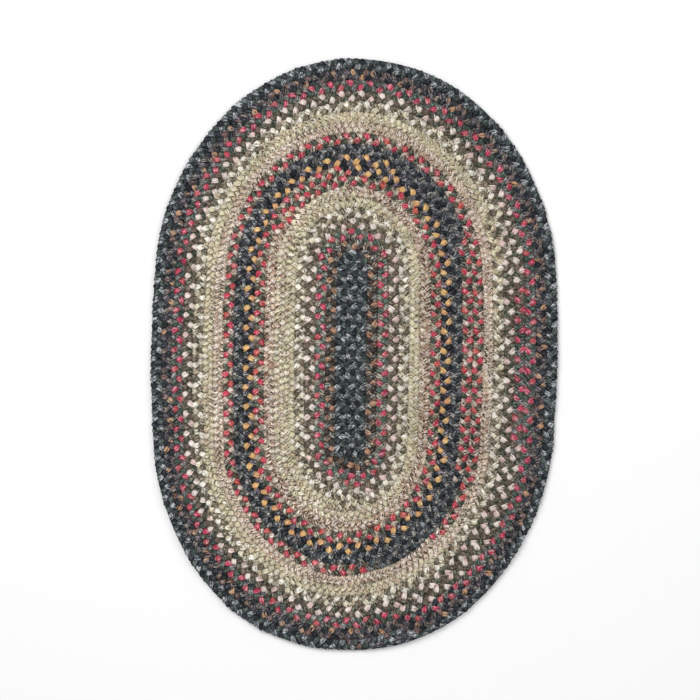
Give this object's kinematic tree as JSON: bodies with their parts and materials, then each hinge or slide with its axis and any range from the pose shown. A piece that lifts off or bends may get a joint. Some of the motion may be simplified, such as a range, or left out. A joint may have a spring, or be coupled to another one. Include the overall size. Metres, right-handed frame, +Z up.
{
  "type": "braided rug",
  "caption": "Oval floor rug of flat braid coiled from the middle and laced row to row, ribbed on both faces, with a tail that narrows round one end.",
  "frame": {"origin": "middle of the underside, on the surface that the rug lies on", "axes": "+Y along the rug's long axis, +X across its rows, +Z up out of its upper face"},
  "size_m": [0.61, 0.887, 0.009],
  "materials": {
    "braid": "matt braided cloth strips, each row's three strands in their own plain or tweed colours"
  },
  "bodies": {
    "root": {"braided_rug": "braid"}
  },
  "joints": []
}
